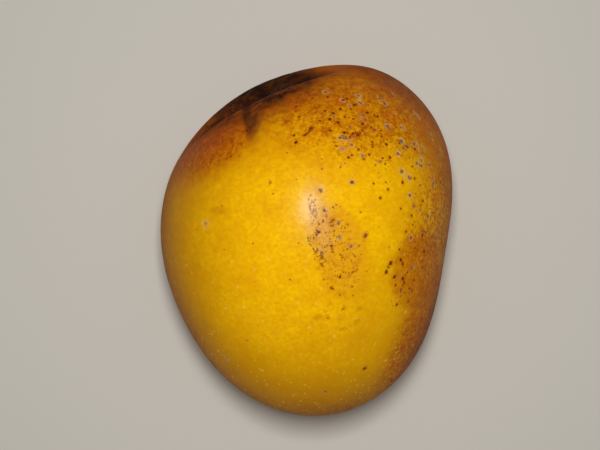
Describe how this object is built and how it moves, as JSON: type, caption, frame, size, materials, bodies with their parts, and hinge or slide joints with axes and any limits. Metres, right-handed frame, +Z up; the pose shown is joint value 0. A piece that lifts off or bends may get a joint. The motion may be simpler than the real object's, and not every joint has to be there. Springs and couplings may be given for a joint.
{
  "type": "whole ripe mango",
  "caption": "Whole ripe mango lying on one cheek, a lopsided egg with a hollow at the stem end, for food scenes, still lifes and handling tests.",
  "frame": {"origin": "on the surface it lies on, below the middle of its outline seen from above", "axes": "+X across the fruit towards its fuller back, +Y along it towards the stem end, +Z up through its two cheeks"},
  "size_m": [0.0952, 0.1152, 0.0794],
  "materials": {
    "skin": "smooth waxy ripe skin, golden yellow with russet shoulders, satin gloss, corky dots and dark specks"
  },
  "bodies": {
    "root": {"mango": "skin"}
  },
  "joints": []
}
